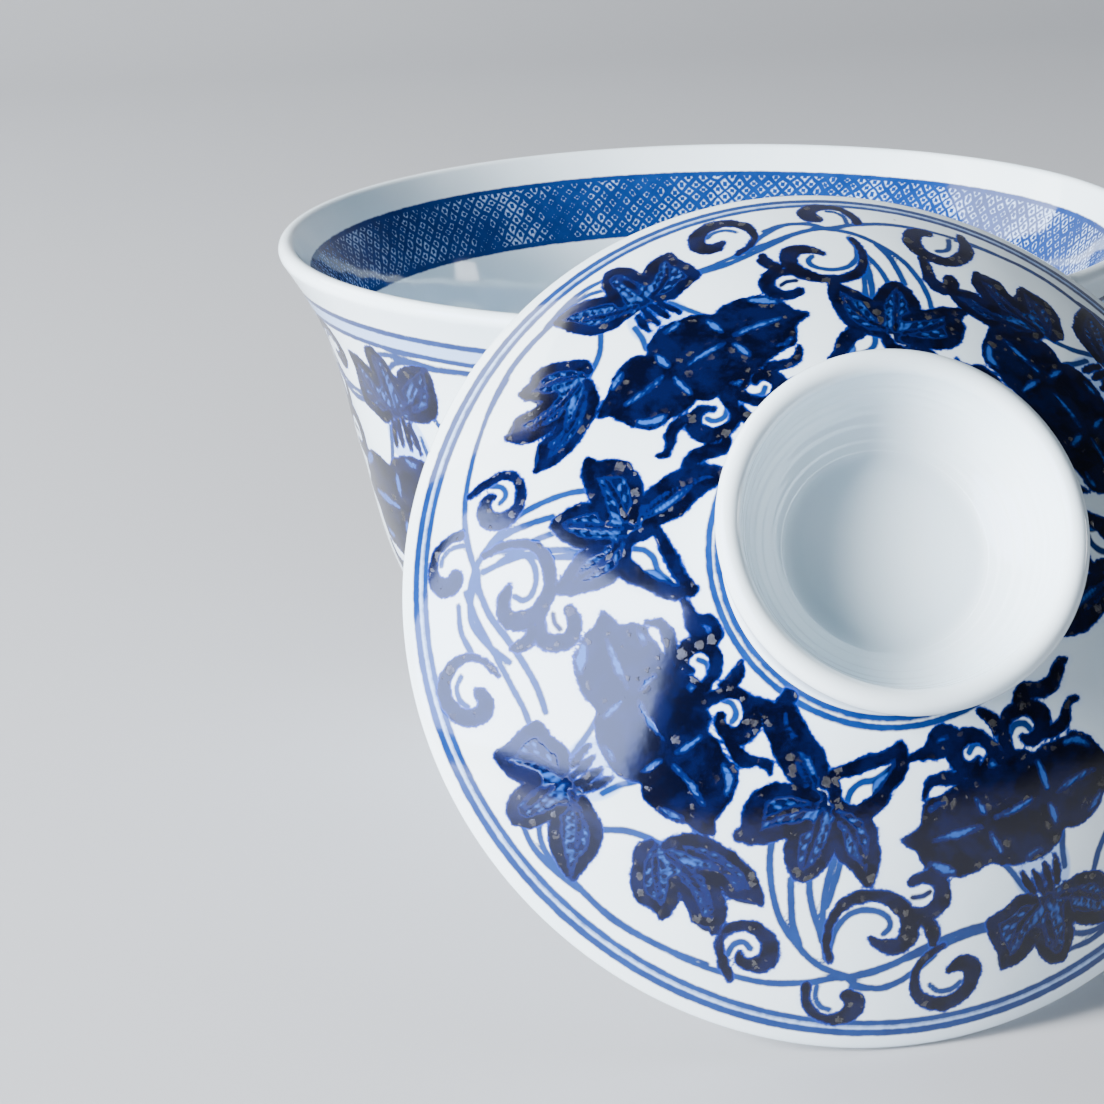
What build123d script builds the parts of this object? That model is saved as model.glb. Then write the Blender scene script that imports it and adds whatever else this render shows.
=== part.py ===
from build123d import *
from math import acos, cos, degrees, hypot, pi, radians, sin, sqrt
import os

# A covered tea bowl in porcelain: a flared bowl on a turned foot ring, and its domed lid, whose
# knob is a hollow ring. The lid stands on its own rim in front of the bowl and leans back on the
# bowl's lip, with its knob to the front.
# Millimetres. The origin is on the bowl's axis, on the plane that the foot ring stands on. +Z is
# up, and the lid is on the -Y side of the bowl.

# Bowl, outside sizes. What is measured from the lip moves with it.
bowl_height = 62.5
rim_radius = 50.0
flare_out = 4.8          # from the neck out to the lip
flare_drop = 10.5        # from the lip down to the neck
belly_in = 8.2           # from the lip in to the belly
belly_height = 38.0
shoulder_in = 11.7       # from the lip in to the low, full part of the wall
shoulder_height = 24.0
heel_in = 18.6           # from the lip in to where the wall turns in to the foot
heel_height = 12.3
wall = 2.6
lip_thickness = 2.0
lip_angle = 58.0         # degrees above level at which the wall runs into the lip
floor_thickness = 3.2
neck_slope = 74.0        # degrees above level at which the wall climbs past each of these
belly_slope = 76.0
shoulder_slope = 72.0
heel_slope = 48.0

# Foot ring
foot_radius = 21.5
foot_height = 5.5
foot_thickness = 3.4     # where it joins the bowl
foot_taper = 0.7         # it is this much thinner on each side where it stands
foot_round = 0.35
foot_angle = 22.0        # degrees above level at which the wall leaves the foot

# Lid, in its own frame: the rim lies on height 0 and the dome rises from it
lid_radius = 43.3
lid_height = 19.3        # from the rim's plane to the crown, outside
lid_wall = 2.4           # at the crown
lid_edge = 1.5           # at the rounded rim

# Knob: a hollow ring on the crown
knob_height = 8.6        # above the crown
knob_radius = 17.1
knob_waist = 15.2        # outside radius where it stands on the dome
knob_mouth = 2.4         # width of the rounded lip
knob_well = 9.8          # radius of the well's floor

# How the lid leans
rest_turn = 42.1         # degrees round the lid's rim, from its top to where it crosses the lip
rest_gap = 0.2           # clear space there


# Bowl ------------------------------------------------------------------------------------------

lip_radius = lip_thickness / 2
lip_centre = (rim_radius - lip_radius, bowl_height - lip_radius)
lip_way = (cos(radians(lip_angle)), sin(radians(lip_angle)))


def on_lip(along, across):
    """A point of the lip's round: along the wall's way into it, and across towards the inside."""
    return (
        lip_centre[0] + lip_radius * (along * lip_way[0] - across * lip_way[1]),
        lip_centre[1] + lip_radius * (along * lip_way[1] + across * lip_way[0]),
    )


def inset(place, slope):
    """The inside of the wall at a point outside, where the wall climbs at slope degrees."""
    return (place[0] - wall * sin(radians(slope)), place[1] + wall * cos(radians(slope)))


neck = (rim_radius - flare_out, bowl_height - flare_drop)
belly = (rim_radius - belly_in, belly_height)
shoulder = (rim_radius - shoulder_in, shoulder_height)
heel = (rim_radius - heel_in, heel_height)
foot_top = (foot_radius, foot_height)
floor_height = foot_height + floor_thickness
floor_edge = (foot_radius - foot_thickness, floor_height)

with BuildPart() as bowl_body:
    with BuildSketch(Plane.XZ):
        with BuildLine():
            Spline(
                foot_top, heel, shoulder, belly, neck, on_lip(0, -1),
                tangents=[(cos(radians(foot_angle)), sin(radians(foot_angle))), lip_way],
            )
            ThreePointArc(on_lip(0, -1), on_lip(1, 0), on_lip(0, 1))
            Spline(
                on_lip(0, 1), inset(neck, neck_slope), inset(belly, belly_slope),
                inset(shoulder, shoulder_slope), inset(heel, heel_slope), floor_edge,
                tangents=[(-lip_way[0], -lip_way[1]), (-1, 0)],
            )
            Polyline(floor_edge, (0, floor_height), (0, foot_height), foot_top)
        make_face()
    revolve(axis=Axis.Z)

with BuildPart() as bowl_foot_ring:
    with BuildSketch(Plane.XZ):
        with BuildLine():
            Polyline(
                foot_top, (foot_radius - foot_taper, 0),
                (foot_radius - foot_thickness + foot_taper, 0),
                (foot_radius - foot_thickness, foot_height), close=True,
            )
        ring = make_face()
        fillet(ring.vertices().group_by(Axis.Y)[0], foot_round)
    revolve(axis=Axis.Z)


# How the lid leans -----------------------------------------------------------------------------
# The rim and the lip are both rounded, so each is a circle with a round drawn along it, and two
# rounds clear each other when their circles stay their two radii apart.

edge_radius = lid_edge / 2
edge_circle = lid_radius - edge_radius
lean = acos(lip_centre[1] / (edge_circle * (1 + cos(radians(rest_turn)))))
lid_way = (0, -cos(lean), sin(lean))
lid_up = (0, sin(lean), cos(lean))
lid_centre_z = edge_circle * cos(lean) - edge_radius * sin(lean) + edge_radius

# The dome's outside and inside are parts of two balls, each meeting the rim's round smoothly.
lid_crown = lid_height - edge_radius
hollow_crown = lid_height - lid_wall + edge_radius
dome_low = (lid_crown**2 - edge_circle**2 - edge_radius**2) / (2 * (lid_crown - edge_radius))
dome_radius = lid_height - dome_low
hollow_low = (hollow_crown**2 - edge_circle**2 - edge_radius**2) / (2 * (hollow_crown - edge_radius))
hollow_radius = lid_height - lid_wall - hollow_low


def clears(lid_y):
    """Whether the lid, with the middle of its rim at lid_y, is rest_gap or more from the lip."""
    steps = 2000
    least = rest_gap + edge_radius + lip_radius
    deepest = hollow_radius - lip_radius - rest_gap
    for step in range(steps):
        turn = pi * step / steps
        x = edge_circle * sin(turn)
        y = lid_y + edge_radius * lid_way[1] + edge_circle * cos(turn) * lid_up[1]
        z = lid_centre_z + edge_radius * lid_way[2] + edge_circle * cos(turn) * lid_up[2]
        if hypot(hypot(x, y) - lip_centre[0], z - lip_centre[1]) < least:
            return False
        x, y = lip_centre[0] * sin(turn), -lip_centre[0] * cos(turn) - lid_y
        z = lip_centre[1] - lid_centre_z
        depth = y * lid_way[1] + z * lid_way[2]
        across = hypot(x, y * lid_up[1] + z * lid_up[2])
        if depth > edge_radius and across < lid_radius:
            if hypot(across, depth - hollow_low) > deepest:
                return False
    return True


near, far = -lip_centre[0] / 2, -lip_centre[0] - edge_circle
while near - far > 0.001:
    middle = (near + far) / 2
    if clears(middle):
        far = middle
    else:
        near = middle
lid_centre = (0, far, lid_centre_z)
lid_axis = Axis(lid_centre, lid_way)
lid_profile = Plane(origin=lid_centre, x_dir=(1, 0, 0), z_dir=(0, -lid_up[1], -lid_up[2]))
print("lean", round(degrees(lean), 3), "lid centre", [round(v, 3) for v in lid_centre])


# Lid -------------------------------------------------------------------------------------------

def ball(radius, low, across):
    """Height of a ball's surface at a distance from its axis, the ball's centre being at low."""
    return low + sqrt(radius**2 - across**2)


def rim_point(low, side):
    """Where a ball centred at low meets the rim's round, on its outer (1) or inner (-1) side."""
    away = hypot(edge_circle, edge_radius - low)
    out = side * edge_radius / away
    return (edge_circle * (1 + out), edge_radius + (edge_radius - low) * out)


rim_out, rim_in = rim_point(dome_low, 1), rim_point(hollow_low, -1)

with BuildPart() as lid_dome:
    with BuildSketch(lid_profile):
        with BuildLine():
            halfway = lid_radius / 2
            ThreePointArc(
                (0, lid_height), (halfway, ball(dome_radius, dome_low, halfway)), rim_out
            )
            ThreePointArc(rim_out, (edge_circle, 0), rim_in)
            ThreePointArc(
                rim_in, (halfway, ball(hollow_radius, hollow_low, halfway)),
                (0, lid_height - lid_wall),
            )
            Line((0, lid_height - lid_wall), (0, lid_height))
        make_face()
    revolve(axis=lid_axis)

mouth_radius = knob_mouth / 2
mouth_centre = (knob_radius - mouth_radius, lid_height + knob_height - mouth_radius)
waist = (knob_waist, ball(dome_radius, dome_low, knob_waist))
well = (knob_well, ball(dome_radius, dome_low, knob_well))
under = (knob_waist + knob_well) / 2

with BuildPart() as lid_knob:
    with BuildSketch(lid_profile):
        with BuildLine():
            mouth_in = (mouth_centre[0] - mouth_radius, mouth_centre[1])
            mouth_out = (mouth_centre[0] + mouth_radius, mouth_centre[1])
            Spline(well, mouth_in, tangents=[(1, 0.9), (0.25, 1)])
            ThreePointArc(mouth_in, (mouth_centre[0], mouth_centre[1] + mouth_radius), mouth_out)
            Spline(mouth_out, waist, tangents=[(0, -1), (0.1, -1)])
            ThreePointArc(waist, (under, ball(dome_radius, dome_low, under)), well)
        make_face()
    revolve(axis=lid_axis)


# Files -----------------------------------------------------------------------------------------

bowl_body.part.label = "bowl_body"
bowl_foot_ring.part.label = "bowl_foot_ring"
lid_dome.part.label = "lid_dome"
lid_knob.part.label = "lid_knob"

os.makedirs("parts", exist_ok=True)
for piece in (bowl_body, bowl_foot_ring, lid_dome, lid_knob):
    export_step(piece.part, f"parts/{piece.part.label}.step")
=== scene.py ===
# %% [markdown]
# # A covered tea bowl in painted porcelain
# The object is a flared bowl on a turned foot ring, with its domed lid leaning on the bowl's lip.
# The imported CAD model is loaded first. It is the frame: it says where each piece is and how big,
# and the lid's own axis is worked out from its box, so that nothing here has to be fitted by eye.

# %% Load the frame
import math

import bpy
import numpy as np
from mathutils import Matrix, Vector


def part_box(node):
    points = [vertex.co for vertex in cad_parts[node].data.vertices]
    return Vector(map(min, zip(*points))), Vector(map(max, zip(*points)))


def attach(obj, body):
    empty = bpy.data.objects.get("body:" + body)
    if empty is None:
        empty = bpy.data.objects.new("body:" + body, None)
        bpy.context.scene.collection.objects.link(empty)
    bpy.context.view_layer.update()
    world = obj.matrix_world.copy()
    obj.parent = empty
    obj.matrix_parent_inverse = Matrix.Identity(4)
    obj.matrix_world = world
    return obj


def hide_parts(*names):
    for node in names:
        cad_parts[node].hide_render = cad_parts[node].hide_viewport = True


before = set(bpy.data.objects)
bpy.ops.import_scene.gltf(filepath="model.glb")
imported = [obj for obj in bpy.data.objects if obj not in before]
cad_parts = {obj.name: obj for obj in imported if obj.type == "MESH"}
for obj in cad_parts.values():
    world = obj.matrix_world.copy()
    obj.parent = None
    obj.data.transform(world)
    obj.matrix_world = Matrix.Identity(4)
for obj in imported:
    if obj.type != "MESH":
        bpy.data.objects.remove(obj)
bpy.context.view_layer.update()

mm = 0.001

# %% [markdown]
# The camera comes early, because every later choice is looked at through it. It stands low and a
# little to the left, with a short telephoto lens, so the lid's face and the knob's well are both
# seen, and the bowl is behind them. A turn, a tip and a tilt of the head give its three axes.

# %% Camera
turn, tip, tilt = (math.radians(angle) for angle in (8.407, 18.394, -1.803))
ahead = Vector((math.sin(turn) * math.cos(tip), math.cos(turn) * math.cos(tip), -math.sin(tip)))
level = Vector((math.cos(turn), -math.sin(turn), 0))
above = level.cross(ahead)
across = level * math.cos(tilt) + above * math.sin(tilt)
upward = above * math.cos(tilt) - level * math.sin(tilt)
lens = bpy.data.cameras.new("lens")
lens.sensor_width = 36.0
lens.lens = 90.56
lens.clip_start = 0.01
camera = bpy.data.objects.new("camera", lens)
axes = Matrix((across, upward, -ahead)).transposed().to_4x4()
camera.matrix_world = Matrix.Translation(Vector((-65.724, -310.844, 128.014)) * mm) @ axes
bpy.context.collection.objects.link(camera)
bpy.context.scene.camera = camera
print("camera at", tuple(round(v, 4) for v in camera.location))

# %% [markdown]
# Every material here is built from shader nodes. A few short helpers keep that readable: one adds
# a node and feeds its inputs, and the others are the sums, masks and mixes that are used most. A
# socket knows its own tree, so the helpers that take a socket need not be told where they work.

# %% Node helpers
def feed(made, inputs):
    """Gives a node its inputs: each is a value, or the socket of a node in the same tree."""
    for key, value in inputs.items():
        if isinstance(value, bpy.types.NodeSocket):
            made.id_data.links.new(value, made.inputs[key])
        else:
            made.inputs[key].default_value = value


def node(tree, kind, inputs=None, **settings):
    """One shader node: settings are its options, and inputs are fed as above."""
    made = tree.nodes.new(kind)
    for name, value in settings.items():
        setattr(made, name, value)
    feed(made, inputs or {})
    return made


def calc(sum_kind, *terms):
    """The result of a Math node on one to three terms, at least one of them a socket."""
    tree = next(term.id_data for term in terms if isinstance(term, bpy.types.NodeSocket))
    return node(tree, "ShaderNodeMath", dict(enumerate(terms)), operation=sum_kind).outputs[0]


def mask(value, start, end):
    """0 where value is at start, 1 where it is at end, and a smooth step between them."""
    given = {"Value": value, "From Min": start, "From Max": end}
    made = node(value.id_data, "ShaderNodeMapRange", given, interpolation_type="SMOOTHSTEP")
    return made.outputs["Result"]


def mixed(amount, first, second):
    """Colour first where amount is 0 and second where it is 1."""
    given = {0: amount, 6: first, 7: second}
    return node(amount.id_data, "ShaderNodeMix", given, data_type="RGBA").outputs[2]


def noise(place, scale, detail=2.0, roughness=0.5):
    """Smooth noise, 0 to 1 around 0.5. Its scale is in lumps per metre."""
    given = {"Vector": place, "Scale": scale, "Detail": detail, "Roughness": roughness}
    return node(place.id_data, "ShaderNodeTexNoise", given).outputs["Fac"]


def group(name, inputs, outputs):
    """An empty node group with named sockets: (its inputs, its output node)."""
    tree = bpy.data.node_groups.new(name, "ShaderNodeTree")
    for side, sockets in (("INPUT", inputs), ("OUTPUT", outputs)):
        for socket_name, kind in sockets.items():
            tree.interface.new_socket(socket_name, in_out=side, socket_type="NodeSocket" + kind)
    return node(tree, "NodeGroupInput").outputs, node(tree, "NodeGroupOutput")


def placed(tree, made, inputs):
    """The outputs of a node group placed in a material."""
    return node(tree, "ShaderNodeGroup", inputs, node_tree=made).outputs


def material(name, roughness):
    """An empty material: (material, its Principled shader, Object coordinates in metres)."""
    made = bpy.data.materials.new(name)
    made.use_nodes = True
    shader = made.node_tree.nodes["Principled BSDF"]
    feed(shader, {"Roughness": roughness, "IOR": 1.5})
    return made, shader, node(made.node_tree, "ShaderNodeTexCoord").outputs["Object"]


def emboss(shader, height, strength, depth):
    """Raises the shaded surface by height, which stands for a depth in metres."""
    given = {"Height": height, "Strength": strength, "Distance": depth}
    bump = node(shader.id_data, "ShaderNodeBump", given)
    feed(shader, {"Normal": bump.outputs["Normal"]})


# %% [markdown]
# The stage is a plain pale floor that rises behind into a backdrop, as on a studio table. It is
# one sheet whose profile is carried sideways: flat, then a quarter turn, then upright.

# %% Floor and backdrop
def skin(name, points, faces):
    """A smooth mesh object from an array of points and a list of faces."""
    mesh = bpy.data.meshes.new(name)
    mesh.from_pydata(points.tolist(), [], faces)
    mesh.shade_smooth()
    made = bpy.data.objects.new(name, mesh)
    bpy.context.collection.objects.link(made)
    return made


def swept_sheet(name, profile, half_width, columns):
    """A sheet: row i lies at (y, z) = profile[i], and its columns run from -half_width to it."""
    profile = np.asarray(profile)
    points = np.empty((len(profile), columns, 3))
    points[..., 0] = np.linspace(-half_width, half_width, columns)[None, :]
    points[..., 1:] = profile[:, None, :]
    corner = np.arange(len(profile) * columns).reshape(len(profile), columns)
    quads = np.stack([corner[:-1, :-1], corner[:-1, 1:], corner[1:, 1:], corner[1:, :-1]], axis=-1)
    return skin(name, points.reshape(-1, 3), quads.reshape(-1, 4).tolist())


floor_top, floor_end, bend = -0.0002, 0.55, 0.5
floor_line = [(-5.0, floor_top)]
floor_line += [
    (floor_end + bend * math.sin(a), floor_top + bend - bend * math.cos(a))
    for a in np.radians(np.linspace(0, 90, 25))
]
floor_line += [(floor_end + bend, 3.2)]
backdrop = swept_sheet("backdrop", floor_line, 5.0, 3)
paper, shader, place = material("backdrop_paper", 0.6)
tint = mixed(noise(place, 3.0), (0.40, 0.41, 0.43, 1), (0.45, 0.46, 0.48, 1))
feed(shader, {"Base Color": tint})
backdrop.data.materials.append(paper)
print("backdrop", len(backdrop.data.vertices), "points")

# %% [markdown]
# Glaze is judged by what it mirrors, so the lights are soft boxes and not points. The bluish one
# on the left is only mirrored: it lies as a glare on the lid's left side and lights nothing else.
# A broad one beside it does the reverse, and lights the object without being seen in the glaze. A
# small one on the right and one behind, above on the left, put short bright spots on the rims.

# %% Lights
def soft_box(name, way, distance, width, height, watts, tint):
    """A rectangular light that stands off in direction way, and faces the object."""
    light = bpy.data.lights.new(name, "AREA")
    light.shape = "RECTANGLE"
    light.size = width
    light.size_y = height
    light.energy = watts
    light.color = tint
    made = bpy.data.objects.new(name, light)
    made.location = Vector(way).normalized() * distance + Vector((0, -0.05, 0.035))
    made.rotation_euler = (-Vector(way)).to_track_quat("-Z", "Y").to_euler()
    bpy.context.collection.objects.link(made)
    return made


glare = soft_box("glare_light", (-0.84, -0.392, 0.375), 0.9, 0.92, 0.62, 35, (0.42, 0.53, 1.0))
glare.visible_diffuse = False
soft_box("right_light", (0.97, -0.10, 0.22), 0.9, 0.18, 0.18, 1.6, (0.93, 0.96, 1.0))
soft_box("back_light", (-0.62, 0.52, 0.62), 0.9, 0.5, 0.5, 5.5, (0.95, 0.98, 1.0))
broad = soft_box("broad_light", (-0.96, -0.34, 0.36), 1.0, 0.4, 0.5, 64, (0.98, 0.99, 1.0))
broad.visible_glossy = False
world = bpy.data.worlds.new("studio")
bpy.context.scene.world = world
world.use_nodes = True
feed(world.node_tree.nodes["Background"], {"Color": (0.60, 0.78, 0.92, 1), "Strength": 0.09})

# %% [markdown]
# A tea bowl is thrown on a wheel, so nearly every surface here is a profile turned about an axis.
# One function makes such a skin from arrays. It could be a Screw modifier on a curve, but worked
# out as a grid each point keeps its place along the profile, which the painting needs later.

# %% Turned skins
def turned_skin(name, profile, columns, place, hollow=False):
    """A closed skin, turned: row i is at radius and height profile[i], and column j is at angle
    2 pi j / columns. The profile starts and ends on the axis, where one point closes each pole.
    A hollow ring never reaches the axis, so its last row is joined to its first instead."""
    profile = np.asarray(profile, float)
    rings = profile if hollow else profile[1:-1]
    angle = 2 * np.pi * np.arange(columns) / columns
    around = np.stack([np.cos(angle), np.sin(angle)], axis=-1)
    points = np.empty((len(rings), columns, 3))
    points[..., :2] = rings[:, 0, None, None] * around[None]
    points[..., 2] = rings[:, 1, None]
    poles = np.array([[0, 0, profile[0, 1]], [0, 0, profile[-1, 1]]])[:0 if hollow else 2]
    flat = place(np.vstack([points.reshape(-1, 3), poles]))

    corner = np.arange(len(rings) * columns).reshape(len(rings), columns)
    if hollow:
        corner = np.vstack([corner, corner[:1]])
    beside = np.roll(corner, -1, axis=1)
    quads = np.stack([corner[:-1], beside[:-1], beside[1:], corner[1:]], axis=-1).reshape(-1, 4)
    faces = quads.tolist()
    if not hollow:
        first = np.full(columns, corner.size)
        faces += np.stack([beside[0], corner[0], first], axis=-1).tolist()
        faces += np.stack([corner[-1], beside[-1], first + 1], axis=-1).tolist()
    print(name, len(flat), "points,", sum(len(face) - 2 for face in faces), "triangles")
    return skin(name, flat, faces)


def smooth_line(points, start_way, end_way, steps):
    """A smooth line through points: each stretch is the cubic that leaves and enters its points
    along their own ways. A middle point's way joins its two neighbours, and the ends' are given."""
    points = np.asarray(points, float)
    runs = np.linalg.norm(np.diff(points, axis=0), axis=1)
    ways = np.empty_like(points)
    ways[1:-1] = (points[2:] - points[:-2]) / (runs[1:] + runs[:-1])[:, None]
    ways[0] = np.array(start_way) / np.hypot(*start_way)
    ways[-1] = np.array(end_way) / np.hypot(*end_way)
    t = np.linspace(0, 1, steps, endpoint=False)[None, :, None]
    a, b = points[:-1, None], points[1:, None]
    out, into = ways[:-1, None] * runs[:, None, None], ways[1:, None] * runs[:, None, None]
    curve = (
        (2 * t**3 - 3 * t**2 + 1) * a + (t**3 - 2 * t**2 + t) * out
        + (3 * t**2 - 2 * t**3) * b + (t**3 - t**2) * into
    )
    return np.vstack([curve.reshape(-1, 2), points[-1:]])


def run_along(line):
    """The way along a line from its start to each of its points."""
    return np.append(0, np.cumsum(np.linalg.norm(np.diff(line, axis=0), axis=1)))


def evenly(line, spacing):
    """The same line with its points about spacing apart."""
    run = run_along(line)
    at = np.linspace(0, run[-1], max(2, int(round(run[-1] / spacing)) + 1))
    return np.stack([np.interp(at, run, line[:, 0]), np.interp(at, run, line[:, 1])], axis=-1)


# %% [markdown]
# The lid stands on its rim in front of the bowl and leans back. Its rim is a round drawn along a
# circle, so the height and depth of the lid's box say how far it leans and where its middle is.
# In its own frame the lid has its rim on height 0 and its axis along height.

# %% The lid's own axis
lid_radius, lid_height, lid_wall = 43.3, 19.3, 2.4
edge_round = 0.75
edge_circle = lid_radius - edge_round
low, high = (np.array(corner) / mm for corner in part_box("lid_dome"))
lean = math.acos((high[2] - low[2] - 2 * edge_round) / (2 * edge_circle))
lid_middle_z = edge_circle * math.cos(lean) - edge_round * math.sin(lean) + edge_round
lid_middle_y = high[1] + edge_round * math.cos(lean) - edge_circle * math.sin(lean) - edge_round
lid_way = np.array([0, -math.cos(lean), math.sin(lean)])
lid_up = np.array([0, math.sin(lean), math.cos(lean)])
lid_middle = np.array([0, lid_middle_y, lid_middle_z])
print("lean", round(math.degrees(lean), 3), "middle", lid_middle.round(3))


def on_lid(points):
    """From the lid's frame, in millimetres, to the row's frame, in metres."""
    return mm * (
        lid_middle + points[:, :1] * np.array([1, 0, 0]) + points[:, 1:2] * lid_up
        + points[:, 2:] * lid_way
    )


def upright(points):
    """From the bowl's frame, in millimetres, to the row's frame, in metres."""
    return mm * points


# %% [markdown]
# The outside and the inside of the dome are each part of a ball. The balls' sizes follow from the
# crown's height and from where they meet the round of the rim without a corner. A place on the
# outside is named by its reach, the way over the dome from the crown, as a tape would measure it.

# %% The dome's two balls
def ball_under(crown, side):
    """(centre height, radius) of the ball that has its crown there, and touches the rim's round
    on its outer side (1) or inner side (-1)."""
    reduced = crown - side * edge_round
    sunk = (reduced**2 - edge_circle**2 - edge_round**2) / (2 * (reduced - edge_round))
    return sunk, crown - sunk


dome_sunk, dome_ball = ball_under(lid_height, 1)
hollow_sunk, hollow_ball = ball_under(lid_height - lid_wall, -1)
print("outer ball", round(dome_ball, 3), "inner ball", round(hollow_ball, 3))


def dome_at(reach):
    """(radius, height) on the outside of the dome at a reach from the crown."""
    turned = np.asarray(reach) / dome_ball
    return np.stack([dome_ball * np.sin(turned), dome_sunk + dome_ball * np.cos(turned)], -1)


# %% [markdown]
# The painting is brushwork in cobalt under the glaze: thin outlines, blue washes inside the
# leaves, and thick strokes that fired nearly black. An image would be the usual way to carry it.
# Here each stroke is drawn as geometry instead. Every point of the skin stores how far it is from
# the nearest stroke of each kind, and the material turns that distance into paint. A distance
# stays smooth between the skin's points, so the edges of the paint are sharper than the grid.

# %% Distances from brush strokes
FAR = 1.5          # millimetres: a distance beyond this makes no paint
ROOM = 1.0         # more than half the widest stroke
CARVE_SPREAD = 0.12
KINDS = ("pale", "line", "wash", "light", "ink")


def brush_line(points, closed=False, fine=6):
    """A smooth line through the given points, fine short runs to each stretch. Each stretch is the
    cubic that passes its ends in the direction of their neighbours."""
    points = np.asarray(points, float)
    if closed:
        before, after = np.roll(points, 1, axis=0), np.roll(points, -1, axis=0)
        second = np.roll(points, -2, axis=0)
        start = points
    else:
        first = 2 * points[0] - points[1]
        beyond = 2 * points[-1] - points[-2]
        padded = np.vstack([first, points, beyond])
        before, start, after, second = padded[:-3], padded[1:-2], padded[2:-1], padded[3:]
    t = (np.arange(fine) / fine)[None, :, None]
    before, start, after, second = (part[:, None] for part in (before, start, after, second))
    line = 0.5 * (
        2 * start + (after - before) * t
        + (2 * before - 5 * start + 4 * after - second) * t**2
        + (3 * start - before - 3 * after + second) * t**3
    )
    line = line.reshape(-1, points.shape[1])
    return line if closed else np.vstack([line, points[-1:]])


def nearest_run(place, starts, ends):
    """For every place and every run: (distance to the run, how far along it the nearest is)."""
    way = ends - starts
    apart = place[:, None] - starts[None]
    along = (apart * way).sum(-1) / np.maximum((way**2).sum(-1), 1e-9)
    along = np.clip(along, 0, 1)
    return np.linalg.norm(apart - along[..., None] * way, axis=-1), along


def from_stroke(place, points, widths):
    """Distance of each place from a stroke's edge, less than 0 inside it: the distance to the
    stroke's middle line less its half width there, the least over its runs."""
    widths = np.atleast_1d(widths).astype(float)
    at = np.linspace(0, 1, len(points))
    half = np.interp(at, np.linspace(0, 1, len(widths)), widths) / 2
    line = brush_line(np.column_stack([points, half]))
    away, along = nearest_run(place, line[:-1, :2], line[1:, :2])
    return (away - line[:-1, 2] - along * (line[1:, 2] - line[:-1, 2])).min(axis=1)


def from_outline(place, points):
    """Distance of each place from a closed outline, less than 0 inside it. A place is inside when
    a level line from it to the right crosses the outline an odd number of times."""
    line = brush_line(points, closed=True)
    ahead = np.roll(line, -1, axis=0)
    away, _ = nearest_run(place, line, ahead)
    x, y = place[:, :1], place[:, 1:]
    spans = (line[:, 1] > y) != (ahead[:, 1] > y)
    rise = np.where(ahead[:, 1] == line[:, 1], 1e-9, ahead[:, 1] - line[:, 1])
    crossing = line[:, 0] + (y - line[:, 1]) / rise * (ahead[:, 0] - line[:, 0])
    inside = (spans & (x < crossing)).sum(axis=1) % 2 == 1
    return np.where(inside, -1, 1) * away.min(axis=1)


def near(place, points, margin):
    """Which places lie in the box around points, margin wider on each side."""
    points = np.asarray(points)
    return ((place > points.min(0) - margin) & (place < points.max(0) + margin)).all(axis=1)


def paint(layers, which, place, strokes):
    """Adds strokes to the layers, one array of distances per kind. The places are in the group's
    own flat frame and stand for the skin's points listed in which. A carved stroke is cut out of
    the ink and is left light."""
    for kind, widths, points in strokes:
        picked = near(place, points, FAR + ROOM)
        if not picked.any():
            continue
        if widths is None:
            distance = from_outline(place[picked], points)
        else:
            distance = from_stroke(place[picked], np.asarray(points, float), widths)
        rows = which[picked]
        if kind == "carve":
            distance = distance - CARVE_SPREAD
            layers["light"][rows] = np.minimum(layers["light"][rows], distance)
            layers["ink"][rows] = np.maximum(layers["ink"][rows], -distance)
        else:
            layers[kind][rows] = np.minimum(layers[kind][rows], distance)


def flecks(points, count, rows=2):
    """The light flecks beside a leaf's middle vein: rows of short dabs on each side, in step along
    the vein, leaning forwards, and fewer in the outer rows, as the leaf narrows."""
    vein = brush_line(np.asarray(points, float))
    dabs = []
    for row in range(rows):
        at = np.linspace(0.1 + 0.1 * row, 0.92 - 0.14 * row, count - row) * (len(vein) - 2)
        index = at.astype(int)
        way = vein[index + 1] - vein[index]
        way /= np.linalg.norm(way, axis=1)[:, None]
        side = np.stack([-way[:, 1], way[:, 0]], axis=-1)
        for hand in (1, -1):
            root = vein[index] + hand * (0.42 + 0.72 * row) * side
            end = root + 0.42 * way + 0.22 * hand * side
            dabs += [("light", (0.36, 0.30), [a, b]) for a, b in zip(root, end)]
    return dabs


# %% [markdown]
# The scheme is one branch, repeated round the lid. Its parts are drawn in a flat frame, where a
# point is (across, out): its millimetres to the side, and out from the crown to the rim. First come
# a large leaf of five lobes with its stems, a scroll, the vine that runs round the rim with a short
# link in it, and three curls to choose from. A stroke is its kind, its widths and its points. The
# widths are spread along it, so it swells and thins as the brush does, and None fills an outline.

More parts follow.
